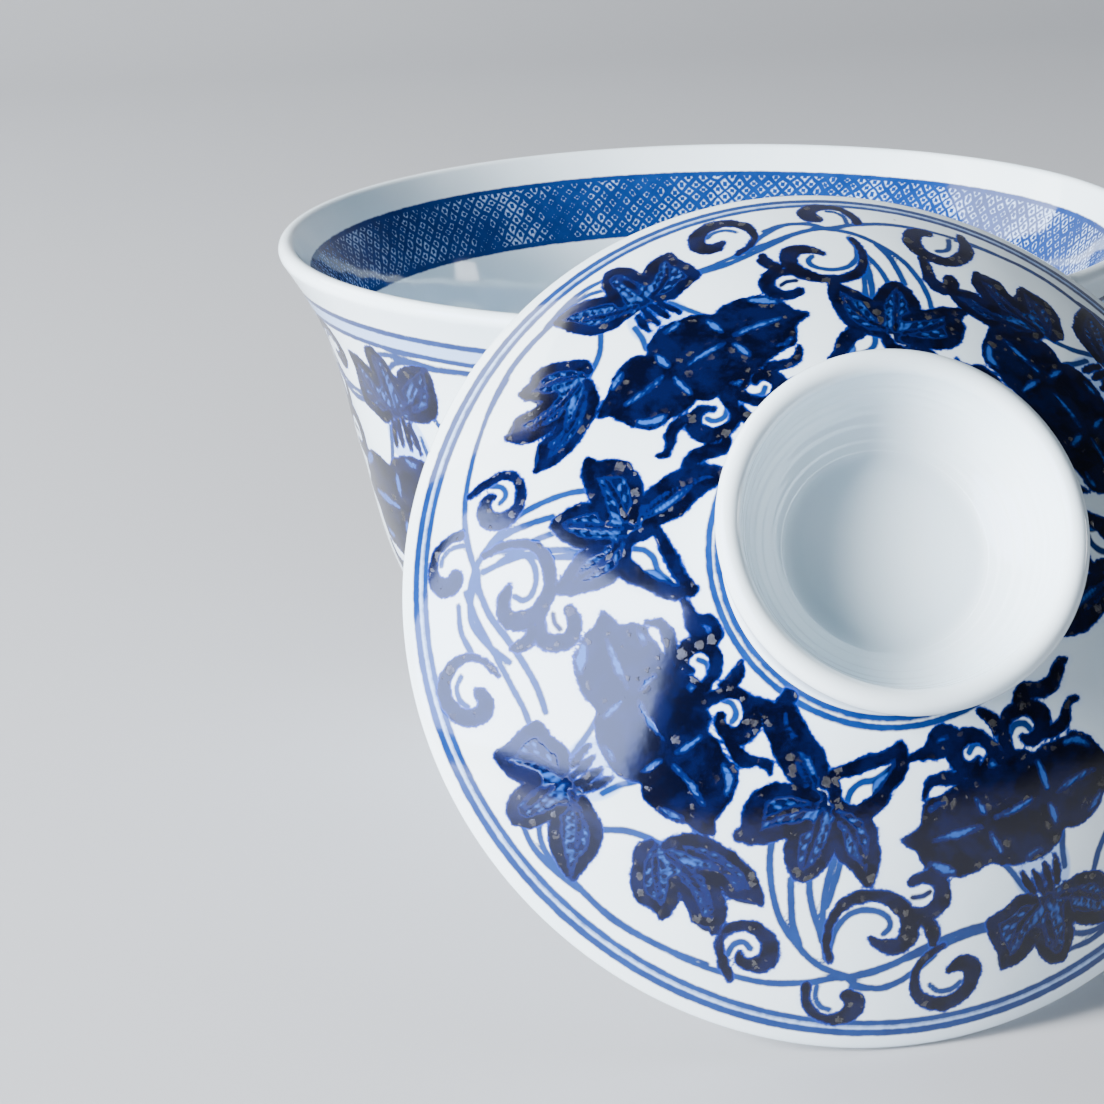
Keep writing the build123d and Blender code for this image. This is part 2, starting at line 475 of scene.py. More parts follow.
# %% The five-lobed leaf and its scroll
leaf_group = [
    ("wash", None, [(-5.6, 15.4), (-6.3, 17.2), (-5.8, 19), (-4.6, 21), (-2.6, 23), (-0.8, 22.8),
     (-0.6, 21.4), (-1.8, 19.8), (-3.6, 18.2), (-4.9, 16.6)]),
    ("wash", None, [(5.5, 18.4), (6.1, 19.8), (5.4, 21.4), (4.9, 22.8), (4.2, 21.8), (4.1, 20.8),
     (4.8, 20)]),
    ("wash", None, [(0.2, 23), (-2.8, 23.2), (-4.8, 23.8), (-6.8, 25.4), (-6.4, 27.4),
     (-6.9, 28.8), (-5.2, 29.1), (-3.6, 28.3), (-2, 27.6), (0, 26)]),
    ("wash", None, [(0, 24), (-1.8, 26), (-2.1, 28.6), (-1.3, 30.6), (-0.2, 31.6), (1, 31),
     (2, 29), (2.2, 26.8), (1.6, 24.6)]),
    ("wash", None, [(0.6, 24), (3, 23.5), (5, 24.7), (6.2, 26.8), (6.7, 29), (6.3, 30.2),
     (5, 29.4), (3.6, 28.6), (2.2, 27.2), (1, 25.6)]),
    ("light", (0.5, 0.7, 0.4), [(-5.1, 17.6), (-3.8, 19.6), (-2.2, 21.9)]),
    ("light", (0.3, 0.5), [(-3.6, 19.2), (-1.6, 21.4)]),
    ("light", (0.3, 0.6, 0.4), [(5.2, 19.8), (4.5, 20.9), (4.4, 21.8)]),
    *flecks([(-0.4, 24.2), (-2.8, 25.3), (-4.8, 26.6), (-6, 28.2)], 5),
    *flecks([(0.2, 24.4), (0.1, 27), (0, 30.6)], 6),
    *flecks([(1.2, 24.4), (3.4, 25.6), (5, 27.2), (6.1, 29.2)], 6),
    ("ink", (1.3, 1.1, 1.4, 1.5, 1.2, 0.9), [(-5.5, 15.3), (-6.1, 16.9), (-5.8, 18.5), (-5, 20),
     (-3.9, 21.5), (-2.6, 22.7)]),
    ("ink", (0.7, 1.2, 1.2, 1.1, 1, 0.9), [(-5.3, 16), (-4.5, 17.3), (-3, 18.6), (-1.8, 19.6),
     (-0.9, 21), (-0.3, 22.2)]),
    ("ink", (0.3, 0.4, 0.3), [(-5.2, 17.9), (-4, 19.7), (-2.7, 21.2), (-1.5, 22.6)]),
    ("ink", (0.6, 1, 1.2, 1.1, 0.9, 0.5), [(0.2, 21.1), (1.5, 20.4), (3, 19.4), (4.4, 18.5),
     (5.4, 17.5), (5.6, 16.9)]),
    ("ink", (1, 1.2, 1.2, 1.1, 1.4, 1.6, 1), [(5.7, 17.2), (6.2, 18.6), (6, 19.8), (5.5, 21),
     (5.1, 22.2), (4.5, 23.2), (3.6, 23.9)]),
    ("line", 0.45, [(5.2, 19.4), (4.2, 20.6), (3, 21.2), (2.3, 22.2), (2.2, 23.4)]),
    ("ink", (0.8, 1.1, 0.9), [(0.1, 21.4), (0.6, 22.3), (1.1, 23.3)]),
    ("ink", (0.9, 1.1, 1.2, 1.2), [(-0.8, 23.6), (-3, 23.5), (-4.8, 24), (-6, 25.2)]),
    ("ink", (1.3, 1.9, 1.5, 0.6), [(-5.9, 25), (-6, 26.6), (-5.9, 28), (-6.9, 28.9)]),
    ("ink", (0.7, 1.2, 1.3, 0.9), [(-6.5, 29), (-5, 28.6), (-3.6, 27.8), (-2, 27), (-0.8, 26.4)]),
    ("ink", (0.7, 1.1, 1, 0.9), [(-1.8, 26.8), (-1.7, 28.6), (-1.2, 30), (-0.3, 31.1)]),
    ("ink", (0.5, 0.9, 1, 1, 0.9), [(1.6, 25.6), (1.9, 27.3), (1.6, 29), (0.9, 30.4),
     (0.1, 31.2)]),
    ("ink", (0.6, 0.7, 0.9, 1, 1.1), [(1.4, 23.7), (3.8, 24), (5.2, 25.2), (6, 27), (6.4, 28.8),
     (6.4, 29.9)]),
    ("ink", (0.8, 0.9, 0.8, 0.9, 0.7), [(2.2, 26.4), (3, 28), (4, 28.6), (5.2, 29.2),
     (6.2, 29.9)]),
    ("ink", (0.25, 0.35, 0.25), [(-0.6, 24.4), (-2.8, 25.4), (-4.8, 26.8)]),
    ("ink", (0.25, 0.35, 0.25), [(0.2, 24.6), (0.1, 27), (0, 30)]),
    ("ink", (0.25, 0.35, 0.25), [(1.2, 24.5), (3.4, 25.7), (5.6, 28.4)]),
    ("line", 0.5, [(-3.7, 28), (-3.3, 30.5), (-2.2, 33.3), (-0.6, 35.8), (1.6, 37.7), (3.6, 38.9),
     (5.2, 39.4), (7.6, 39.6)]),
    ("line", (0.5, 0.6), [(-0.9, 31.6), (-0.2, 33.8), (0.6, 35.8), (1.8, 37.6)]),
    ("line", 0.5, [(0.8, 31.2), (1.5, 33), (2.6, 34.8), (3.9, 36.7)]),
    ("line", 0.5, [(2.5, 28), (2.6, 31), (3, 33.6), (3.7, 35.9), (4.8, 38.3)]),
    ("line", (0.5, 0.35), [(3.2, 28.2), (3.3, 31), (3.3, 33.4)]),
]
scroll = [
    ("ink", (0.4, 0.6, 0.6, 0.8, 1, 1, 1.1, 1.5, 1.6, 1.7, 1.4, 1, 0.4), [(5.3, 38.4), (4.5, 37),
     (4.1, 35.2), (4.4, 33.2), (5.6, 31.8), (7.4, 31.1), (9, 31), (10.8, 31.7), (11.8, 33),
     (11.9, 34.6), (11, 35.5), (9.6, 35.6), (8.4, 35.2)]),
    ("line", 0.45, [(4.9, 37.6), (4.8, 35.4), (5.4, 33.8), (6.6, 32.8), (8.2, 32.5), (9.5, 32.9),
     (9.9, 33.7), (9.5, 34.5)]),
    ("ink", (0.8, 1.1, 1.3, 1.4, 1.4, 1.2, 0.8, 0.4), [(10.6, 28.8), (11.9, 28), (13.3, 28.2),
     (14, 29.2), (13.9, 30.6), (13, 31.4), (11.8, 31.6), (10.9, 31.3)]),
    ("wash", (0.5, 0.5), [(11.1, 30.3), (12, 30), (12.6, 29.4)]),
    ("ink", (0.4, 1, 1.2, 0.6), [(12.3, 32.3), (13.5, 32.4), (14.4, 33.1), (14.7, 34)]),
]
vine = [
    ("line", (0.2, 0.5, 0.55, 0.5), [(-16, 40), (-12, 41.4), (-8, 42.2), (-4, 42.5), (0, 42.3),
     (3.6, 41.3), (6.4, 40), (8.6, 39.2), (11, 37.7), (13.4, 35.4), (15.5, 33.6), (17.8, 31.9),
     (20, 30.8)]),
    ("line", 0.5, [(7.5, 39.7), (8.8, 40.2), (11, 40), (12.5, 39.1), (14.2, 37.1), (15.4, 35.2)]),
]
link = [
    ("line", 0.5, [(-4.5, 42.1), (-2, 42.4), (0.5, 42.8), (3.5, 43), (6, 42.9)]),
]
simple_curl = [
    ("ink", (0.6, 0.8, 0.7, 0.8, 0.9, 1, 1.4, 1.7, 1.6, 1.1, 0.8, 0.5), [(-3.7, 42.9),
     (-4.8, 41.4), (-5.7, 39.8), (-5.5, 38.2), (-4.3, 37.3), (-2.6, 37.2), (-1.2, 38),
     (-0.7, 39.4), (-1.1, 40.5), (-2.3, 41), (-3.3, 40.7), (-3.5, 40.1)]),
    ("line", 0.45, [(-4.7, 40.6), (-4.4, 39.3), (-3.5, 38.8), (-2.7, 39.3)]),
]
double_curl = [
    ("ink", (0.8, 1.4, 1.5, 1.3, 1.5, 1.9, 1.7, 0.9), [(-8.2, 43), (-8.5, 41), (-8, 38.9),
     (-6.6, 37.3), (-4.6, 36.9), (-2.8, 38), (-2.2, 39.8), (-2.8, 41.6), (-4.2, 42)]),
    ("ink", (1.2, 1.6, 1.5, 1.1, 0.9), [(-6, 33.9), (-5.9, 32.7), (-4.9, 32), (-3.9, 32.9),
     (-3.5, 34.6), (-3.2, 36.6)]),
    ("line", 0.45, [(-6.6, 41.6), (-6.2, 39.4), (-4.9, 38.6)]),
]
low_curl = [
    ("ink", (0.9, 0.8, 0.8, 0.9, 1.3, 1.8, 1.8, 1.4), [(3.8, 41.6), (4.3, 43), (5.4, 44.2),
     (7, 44.5), (8.6, 44), (9.3, 42.9), (9.1, 41.9), (8.3, 41.6)]),
    ("line", 0.4, [(4.9, 41.3), (5.2, 42.6), (6.1, 43.4), (7, 43.5)]),
]
leaf_parts = (leaf_group, scroll, vine, simple_curl, low_curl)
print("leaf part", sum(map(len, leaf_parts)), "strokes")

# %% [markdown]
# The other half of the branch is a ribbed melon lying across, with flames above it towards the
# knob, and below it a neck and a three-lobed leaf that reaches the border. A curl hangs at its left
# and a second leaf stands on its stem at the right. The melon is nearly solid ink, and the slits
# that mark its ribs are carved out of that.

# %% The melon and its leaves
melon_outline = [(-11.4, 24.2), (-9.4, 23.9), (-7.9, 22.2), (-6, 22.3), (-4.2, 22.1), (-2.2, 21.8),
    (-0.6, 21.1), (0.7, 21.1), (1.8, 22), (3, 22.3), (3.9, 23.1), (5.2, 22.9), (6.8, 23.2),
    (8.5, 23.2), (9.8, 24.3), (10.6, 26), (11.2, 27.6), (12, 28.3), (11, 29.2), (9.6, 29.7),
    (8, 31), (5.5, 31.5), (4, 30.9), (3, 31.8), (1, 32.4), (-1.2, 32.1), (-3.2, 31.2),
    (-4.1, 30.3), (-6, 30.4), (-8, 29.9), (-9.6, 28.9), (-10.5, 27), (-10.6, 25.6)]
melon_group = [
    ("wash", None, melon_outline),
    ("pale", None, [(-2.6, 32.2), (3.1, 32.2), (2.4, 36.2), (-2, 36.2)]),
    ("wash", None, [(-6.9, 35.9), (-5, 35.5), (-3, 35.1), (-1.5, 36), (0, 36.2), (2, 36.2),
     (4, 36.8), (5.5, 37), (6.8, 39), (7.5, 41), (7.8, 42.4), (6, 42.4), (4.5, 42.1), (3, 41.2),
     (1.8, 40.3), (1.2, 41.6), (0.4, 43.2), (-0.9, 43.9), (-2.2, 43.4), (-2.9, 42), (-3, 40.8),
     (-4.5, 41.3), (-6, 41.4), (-7.4, 41), (-7.1, 39), (-6.8, 37.4)]),
    *flecks([(-1.4, 36.6), (-3.8, 37.6), (-5.6, 39.2), (-6.6, 40.8)], 6),
    *flecks([(-0.7, 36.8), (-1, 39.5), (-0.9, 42.8)], 6),
    *flecks([(0.4, 36.8), (3.4, 38), (5.4, 39.8), (7, 41.6)], 7),
    ("ink", None, melon_outline),
    ("carve", (0.3, 0.7, 0.3), [(-8.8, 25.6), (-6.5, 26.2), (-4, 26.7)]),
    ("carve", (0.3, 0.6, 0.3), [(-2.3, 26.6), (0, 26.9), (1.8, 26.9)]),
    ("carve", (0.3, 0.6, 0.3), [(4.6, 27.5), (7, 27.3), (9.2, 27.4)]),
    ("carve", (0.4, 0.6, 0.3), [(-3.3, 24.1), (-3.2, 25), (-3.1, 25.8)]),
    ("carve", (0.4, 0.7, 0.4), [(-3.3, 28), (-3.2, 29), (-3.1, 29.9)]),
    ("carve", (0.3, 0.6, 0.4), [(3.9, 24), (3.9, 25.3), (3.8, 26.6)]),
    ("carve", (0.4, 0.7, 0.4), [(3.4, 28.3), (3.4, 29.2), (3.3, 30)]),
    ("carve", (0.4, 0.5, 0.3), [(-7.7, 22.8), (-7, 22.8), (-6.3, 23)]),
    ("carve", (0.4, 0.7, 0.5), [(-0.5, 22), (0.1, 22), (0.8, 22.2)]),
    ("carve", (0.4, 0.8, 0.4), [(7.3, 23.7), (8.6, 24), (9.6, 25)]),
    ("carve", (0.5, 1, 0.6), [(-9.9, 27.6), (-9, 28.6), (-8.2, 29.3)]),
    ("carve", (0.4, 0.7, 0.4), [(7.2, 30.8), (8.2, 30.4), (9, 29.9)]),
    ("carve", (0.4, 0.6, 0.4), [(-0.8, 31.8), (0, 31.7), (0.8, 31.8)]),
    ("line", 0.45, [(-3.3, 31), (-2.7, 32.8), (-2.1, 34.8)]),
    ("line", 0.45, [(3.6, 31.4), (3, 32.8), (2.6, 34.6)]),
    ("ink", (0.3, 0.6, 0.5), [(-1.9, 33), (-1.7, 34.2), (-1.3, 35.4)]),
    ("ink", (0.3, 0.7, 0.5), [(-0.7, 33.3), (-0.6, 34.6), (-0.5, 36)]),
    ("ink", (0.3, 0.7, 0.5), [(0.6, 33.3), (0.6, 34.6), (0.4, 36)]),
    ("ink", (0.3, 0.7, 0.5), [(1.9, 33.1), (1.7, 34.3), (1.3, 35.6)]),
    ("ink", (1.2, 1, 1, 0.8), [(-6.6, 36.2), (-6.7, 38), (-6.5, 39.8), (-6.9, 41)]),
    ("ink", (1, 1, 1, 0.8), [(-6.5, 36), (-4.8, 35.9), (-3, 35.5), (-1.6, 36.2)]),
    ("ink", (0.8, 1.2, 1.3, 1.1, 1, 1, 1.1, 0.9), [(-6.5, 41), (-4.8, 40.7), (-3.6, 39.9),
     (-2.5, 39.3), (-2.4, 40.6), (-2.3, 42), (-1.7, 43.1), (-0.6, 43.5)]),
    ("ink", (0.8, 0.8, 0.9, 1, 0.6), [(-0.6, 43.4), (0.4, 42.5), (0.9, 41), (1.3, 39.6),
     (1.5, 38.4)]),
    ("ink", (0.8, 1.1, 1.2, 0.9, 0.5), [(1.4, 39.6), (2.6, 40.7), (4, 41.5), (5.5, 42),
     (7, 42.3)]),
    ("ink", (0.7, 1.1, 1.2, 1.1, 1, 0.6), [(2, 36.6), (4, 36.9), (5.6, 37.6), (6.5, 39), (7, 40.5),
     (7.5, 42)]),
    ("ink", (0.3, 0.6, 0.3), [(-0.9, 38.4), (-1.1, 40), (-1, 41.8)]),
    ("ink", (0.3, 0.4, 0.2), [(-1.4, 36.8), (-3.8, 37.8), (-5.4, 39.2)]),
    ("ink", (0.3, 0.4, 0.2), [(0.6, 37), (3.4, 38.2), (5.2, 39.8)]),
    ("line", (0.4, 0.55, 0.5), [(0.2, 43.2), (2.6, 43.6), (5.4, 43.3), (8.6, 42.4)]),
    ("line", (0.4, 0.5, 0.4), [(1, 41.6), (2.8, 42.6), (5.2, 42.9), (8.2, 42.4)]),
    ("line", (0.5, 0.6, 0.5, 0.2), [(7.8, 42.3), (11, 41.8), (14, 41), (17, 39.6), (20, 37.8),
     (22.4, 36)]),
    ("ink", (1, 1.2, 0.9, 1, 1.2, 1.4, 1.4, 1.2, 1, 0.5), [(1, 22.8), (0.5, 21.5), (0.1, 20),
     (-0.6, 18.9), (-1.8, 18.4), (-3, 18.8), (-3.5, 19.9), (-3.1, 21), (-2.2, 21.4), (-1.6, 21)]),
    ("line", 0.4, [(-2, 19.9), (-1.2, 19.5), (-0.3, 20), (0, 20.8)]),
    ("ink", (0.3, 0.7, 1, 1.1, 0.7), [(-7.8, 21.6), (-6.7, 20.7), (-5.2, 20.9), (-4, 21.5),
     (-3.2, 21.2)]),
    ("ink", (0.4, 1, 1.3, 1.2, 0.5), [(-7.4, 17.7), (-5.8, 18), (-4.6, 18.4), (-3.4, 18.3),
     (-2.4, 17.8)]),
    ("ink", (0.8, 0.9, 1, 0.8), [(-5.2, 17.8), (-4.2, 16.9), (-3, 17.1), (-2.3, 18.2)]),
    ("ink", (0.4, 1, 1.1, 0.5), [(0.6, 17), (1.2, 17.8), (1.6, 18.8), (1.2, 19.6)]),
    ("ink", (1, 1.1, 1, 1.1, 1.4, 1.7, 1.5, 1.1, 0.9, 0.5), [(1.4, 22.6), (1.7, 20.6), (2.2, 19.2),
     (3.4, 18.6), (5, 18.8), (5.9, 19.7), (6, 20.9), (5.2, 21.7), (4.1, 21.8), (3.4, 21.3)]),
    ("line", 0.4, [(2.4, 20.3), (3.2, 19.8), (4.2, 20.1), (4.5, 20.8)]),
    ("ink", (0.7, 1, 1.1, 0.7, 0.6, 0.3), [(5, 21.8), (6.6, 22.1), (8, 21.9), (8.8, 21),
     (9.7, 20.4), (10.4, 20.6)]),
    ("ink", (0.6, 1.3, 1.3, 1.3, 1.1, 0.7, 0.3), [(4.4, 17.8), (5.6, 17.4), (7, 18.1), (8.4, 18.2),
     (9.4, 17.6), (10.3, 16.8), (11, 16.8)]),
    ("line", 0.45, [(-22.5, 33.8), (-19, 34.6), (-15.5, 35.1), (-12, 35.6), (-9, 36), (-7, 36.5)]),
    ("line", (0.35, 0.5), [(-22, 35.2), (-19.5, 36.6), (-17, 37)]),
]
hanging_curl = [
    ("ink", (0.4, 0.5, 0.6, 1, 1.2, 1.4, 1.4, 1.5, 1.6, 1.6, 1.3, 0.6), [(-12, 35.7), (-14, 36),
     (-15.6, 37), (-16.2, 38.8), (-15.7, 40.5), (-14.4, 41.5), (-12.8, 41.8), (-11.2, 41.2),
     (-10.2, 40), (-10.2, 38.9), (-11.1, 38.3), (-12.3, 38.4)]),
    ("line", 0.4, [(-14.7, 38.9), (-14.1, 40), (-12.8, 40.5), (-11.7, 40.2)]),
]
stem_leaf = [
    ("wash", None, [(9, 33.4), (10.3, 32.8), (10.8, 30.8), (12.5, 28.9), (15, 27.8), (18, 27.4),
     (20.2, 28.2), (18.6, 30.2), (16.5, 30.6), (18.5, 31.6), (20, 33.6), (18.3, 34.7),
     (15.6, 34.2), (16.1, 36.8), (14.5, 37.2), (13, 37.9), (11, 37.2), (9.3, 35.3)]),
    *flecks([(9.6, 33.4), (12, 30.9), (14.8, 29.3), (18.8, 28.3)], 7),
    *flecks([(10.4, 33), (13.6, 32.2), (16.6, 32.3), (19.2, 33)], 6),
    *flecks([(10, 33.8), (11.8, 35), (13.6, 35.8), (15.2, 36.2)], 5),
    ("line", 0.5, [(5.4, 36.8), (6.8, 35), (8.3, 33.8), (9.8, 33)]),
    ("ink", (0.8, 1.1, 1, 0.8, 0.8, 0.9, 0.4), [(10.3, 32.6), (10.9, 30.9), (12.2, 29.4),
     (14, 28.4), (16, 27.8), (18, 27.7), (20.2, 28.2)]),
    ("ink", (0.5, 1, 0.9, 0.8, 0.9, 0.5), [(19.8, 28.2), (18.7, 28.9), (17.9, 29.9), (16.5, 30),
     (15.5, 30.4), (14.2, 31.4)]),
    ("ink", (0.8, 1.2, 1.1, 0.6), [(14.9, 30.8), (17, 31.3), (18.8, 32.1), (20, 33.5)]),
    ("ink", (0.5, 0.7, 1, 1, 1, 0.7), [(20, 33.4), (18.9, 33.4), (18, 34.2), (16.6, 33.8),
     (15, 33.7), (13.5, 34)]),
    ("ink", (0.8, 1, 0.9, 0.4), [(13.7, 33.8), (14.6, 34.8), (15.5, 36), (15.9, 37)]),
    ("ink", (0.4, 0.9, 1.1, 1.1, 1.1, 1.3, 0.8), [(15.9, 36.9), (14.4, 36.9), (13, 37.4),
     (11.4, 36.8), (10.2, 35.7), (9.4, 34.8), (9.3, 33.6)]),
    ("ink", (0.2, 0.35, 0.2), [(10.8, 32.2), (12.4, 30.8), (15, 29.4), (17.6, 28.7)]),
    ("ink", (0.2, 0.4, 0.2), [(11, 33), (13.6, 32.4), (16.4, 32.4), (18.4, 32.8)]),
    ("ink", (0.2, 0.35, 0.2), [(10.6, 34), (12, 35), (13.8, 35.9)]),
]
melon_parts = (melon_group, hanging_curl, stem_leaf)
print("melon part", sum(map(len, melon_parts)), "strokes")

# %% [markdown]
# The branch goes round four times, and the painter never set it down twice the same. So each part
# has its own list of where it goes: a direction in degrees, anticlockwise on the lid's face from
# its right-hand side, and how far the part slipped across and inwards, in millimetres.

# %% The lid's points and their paint
lid_branch = [
    (leaf_group, [(250, 0, 0), (166, 0, 0), (75.9, 0, 0), (353, 0, 0)]),
    (scroll, [(250, 0, 0), (166, -2.2, 0), (75.9, -0.8, 0.3), (353, 0, 0), (322, 0, -1)]),
    (vine, [(250, 0, 0), (166, -1.5, 0.9), (75.9, 0, 0), (353, 0, 0)]),
    (simple_curl, [(250, 0, 0), (166, 0.2, 1.8), (353, 0, 0), (337, 0, 0)]),
    (link, [(328, 0, 0)]),
    (double_curl, [(75.9, 0, 0)]),
    (low_curl, [(250, 0, 0), (166, -3, 0.2), (75.9, 0, 0), (353, 0, 0)]),
    (melon_group, [(293.5, 0, 0), (209.5, 0, 0), (120.5, 0, 0), (34, 0, 0)]),
    (hanging_curl, [(293.5, 0, 0), (209.5, -1.2, -0.4), (120.5, 0, 0), (34, 0, 0)]),
    (stem_leaf, [(293.5, 0, 0), (209.5, 0, 0), (120.5, 0, 0), (34, -2.7, 0.5)]),
]


DRAWN_BOX = [(-24, 14), (24, 46.5)]


def empty_layers(count):
    """One array of distances per kind of paint, all of them far away."""
    return {kind: np.full(count, FAR) for kind in KINDS}


def paint_round(layers, which, angle, reach, scale, parts):
    """Paints each part's strokes once for each of its places: a point's flat place in a part's
    frame is its reach, turned by its angle from that direction, without the slip. Scale is the
    skin's millimetres for one of the drawing's, and turns drawn distances into real ones."""
    drawn = empty_layers(len(angle))
    rows = np.arange(len(angle))
    for strokes, places in parts:
        for direction, slip_across, slip_in in places:
            turned = angle - math.radians(direction)
            place = np.stack([
                reach * np.sin(turned) - slip_across, reach * np.cos(turned) + slip_in,
            ], axis=-1)
            shown = near(place, DRAWN_BOX, 0.5)
            paint(drawn, rows[shown], place[shown], strokes)
    for kind in KINDS:
        real = np.clip(drawn[kind] * scale, -FAR, FAR)
        layers[kind][which] = np.minimum(layers[kind][which], real)


def paint_rings(layers, rows, depth, rings):
    """Adds rings that run round a skin: each is its kind, its middle's depth and its width."""
    for kind, middle, width in rings:
        ring = np.abs(depth[rows] - middle) - width / 2
        layers[kind][rows] = np.minimum(layers[kind][rows], ring)


def store(piece, layers):
    """Each kind's distances become a float attribute of the piece's points."""
    for kind, values in layers.items():
        kept = piece.data.attributes.new(kind, "FLOAT", "POINT")
        kept.data.foreach_set("value", values.astype(np.float32))


def arc(height, radius, turn):
    """Points (radius, height) round a circle on a height of the axis."""
    return [0, height] + radius * np.hstack([np.sin(turn), np.cos(turn)])


lid_columns = 760
paint_starts = 14
hidden_reach = [0, 6, 11, 14.2]
border_reach = [45.15, 45.4, 45.65, 46, 46.3, 46.55, 46.8, 47.1]
reaches = np.concatenate([hidden_reach, np.linspace(14.6, 44.9, 97), border_reach])
rim_start = math.atan2(edge_round - dome_sunk, edge_circle)
rim_end = math.atan2(edge_round - hollow_sunk, edge_circle) - math.pi
rim_turn = math.pi / 2 - np.linspace(rim_start, rim_end, 10)[:, None]
rim_points = [edge_circle, 0] + arc(edge_round, edge_round, rim_turn)
inner_end = math.atan2(edge_circle, edge_round - hollow_sunk) - 0.03
inner_points = arc(hollow_sunk, hollow_ball, np.linspace(inner_end, 0, 10)[:, None])
lid_profile = np.vstack([dome_at(reaches), rim_points, inner_points])[::-1]
lid = turned_skin("lid_painted", lid_profile, lid_columns, on_lid)

# %% Paint the lid
def skin_points(row_values, columns):
    """For each point of a turned skin: (its row's value, its angle). The poles come last."""
    rings = row_values[1:-1]
    values = np.append(np.repeat(rings, columns), row_values[[0, -1]])
    angles = np.append(np.tile(2 * np.pi * np.arange(columns) / columns, len(rings)), [0, 0])
    return values, angles


row_reach = np.zeros(len(lid_profile))
row_reach[::-1][:len(reaches)] = reaches
reach, angle = skin_points(row_reach, lid_columns)
painted = np.flatnonzero(reach > paint_starts)
lid_layers = empty_layers(len(reach))
paint_round(lid_layers, painted, angle[painted], reach[painted], 1.0, lid_branch)
paint_rings(lid_layers, painted, reach, [
    ("line", 15.35, 0.4), ("line", 16.25, 0.45), ("line", 45.35, 0.42),
    ("line", 46.5, 0.55), ("pale", 45.95, 1.1),
])
store(lid, lid_layers)
for kind in KINDS:
    share = (lid_layers[kind][painted] < 0).mean()
    print(kind, "covers", round(100 * float(share), 1), "% of the points of the lid's face")

# %% [markdown]
# Cobalt paint has no hard edge. Its thick middle is nearly black, thinner paint is deep blue, and
# a bright blue fringe bleeds into the glaze around it. So one node group turns distances into
# colour in that order, with noise that scallops the edges. It serves the lid and the bowl.

# %% The cobalt painting group
given, out = group(
    "cobalt_painting",
    {"Place": "Vector", "Pale": "Float", "Line": "Float", "Wash": "Float", "Light": "Float",
     "Ink": "Float", "White": "Color"},
    {"Color": "Color", "Thickness": "Float", "Roughness": "Float", "Metal": "Float"},
)
painting, place = out.id_data, given["Place"]
# The edge's wander: lumps of about 1 mm and of about 0.3 mm
slow = noise(place, 800, 1.0)
quick = noise(place, 2400, 2.0)
wander = calc(
    "ADD", calc("MULTIPLY_ADD", slow, 0.52, -0.30), calc("MULTIPLY_ADD", quick, 0.34, -0.20))
blotch = noise(place, 420, 3.0, 0.6)
ink_edge = calc("ADD", calc("SUBTRACT", given["Ink"], 0.08), wander)
small_wander = calc("MULTIPLY", wander, 0.30)
line_edge = calc("ADD", calc("SUBTRACT", given["Line"], 0.04), small_wander)
wash_edge = calc("ADD", given["Wash"], small_wander)
light_edge = calc("ADD", given["Light"], small_wander)

# From here on each coat goes over the colour so far: pale wash, halo, lines, wash, light dabs
pale_amount = calc("MULTIPLY", mask(given["Pale"], 0.2, -0.2), 0.85)
colour = mixed(pale_amount, given["White"], (0.27, 0.44, 0.80, 1))
halo = calc("MULTIPLY", mask(ink_edge, 0.75, -0.1), 0.22)
colour = mixed(halo, colour, (0.30, 0.48, 0.86, 1))
line_tint = mixed(blotch, (0.002, 0.013, 0.085, 1), (0.006, 0.042, 0.20, 1))
line_amount = mask(line_edge, 0.20, -0.06)
colour = mixed(line_amount, colour, line_tint)
wash_depth = calc("MULTIPLY", mask(ink_edge, 0.15, 1.3), mask(blotch, 0.25, 0.7))
wash_tint = mixed(wash_depth, (0.0006, 0.0022, 0.028, 1), (0.003, 0.016, 0.12, 1))
wash_amount = mask(wash_edge, 0.18, -0.12)
colour = mixed(wash_amount, colour, wash_tint)
light_amount = calc("MULTIPLY", mask(light_edge, 0.10, -0.2), 0.85)
in_wash = mask(calc("MINIMUM", given["Wash"], given["Light"]), 0.3, 0.0)
colour = mixed(calc("MULTIPLY", light_amount, in_wash), colour, (0.016, 0.085, 0.38, 1))
# The ink's bright fringe, its blue body and its nearly black, mottled core
fringe = mask(ink_edge, 0.20, 0.0)
fringe_tint = mixed(wash_amount, (0.004, 0.03, 0.26, 1), (0.0015, 0.007, 0.065, 1))
colour = mixed(fringe, colour, fringe_tint)
body = mask(ink_edge, 0.04, -0.12)
colour = mixed(body, colour, (0.0015, 0.005, 0.055, 1))
core_edge = calc("ADD", ink_edge, calc("MULTIPLY_ADD", blotch, 0.5, -0.25))
mottle = mask(noise(place, 330, 3.0, 0.65), 0.62, 0.40)
core = calc(
    "MULTIPLY", mask(core_edge, -0.05, -0.25), calc("MULTIPLY_ADD", mottle, 0.45, 0.55))
colour = mixed(core, colour, (0.0006, 0.0009, 0.008, 1))
# Where the paint lies thick it crystallised in pin-sized metallic specks
jolt = node(painting, "ShaderNodeTexNoise", {"Vector": place, "Scale": 2200.0})
shifted = node(painting, "ShaderNodeVectorMath", {
    0: jolt.outputs["Color"], 1: (0.0007, 0.0007, 0.0007), 2: place,
}, operation="MULTIPLY_ADD").outputs[0]
grain = node(painting, "ShaderNodeTexVoronoi", {"Vector": shifted, "Scale": 1000.0})
parts = node(painting, "ShaderNodeSeparateColor", {0: grain.outputs["Color"]}).outputs
size = calc("MULTIPLY_ADD", parts[1], 0.38, 0.14)
speck = mask(calc("SUBTRACT", grain.outputs["Distance"], size), 0.06, -0.06)
speck = calc("MULTIPLY", speck, mask(parts[0], 0.60, 0.68))
patchy = mask(noise(place, 170, 2.0), 0.40, 0.56)
rim_of_ink = calc("MULTIPLY", mask(ink_edge, -0.08, -0.22), mask(ink_edge, -1.1, -0.7))
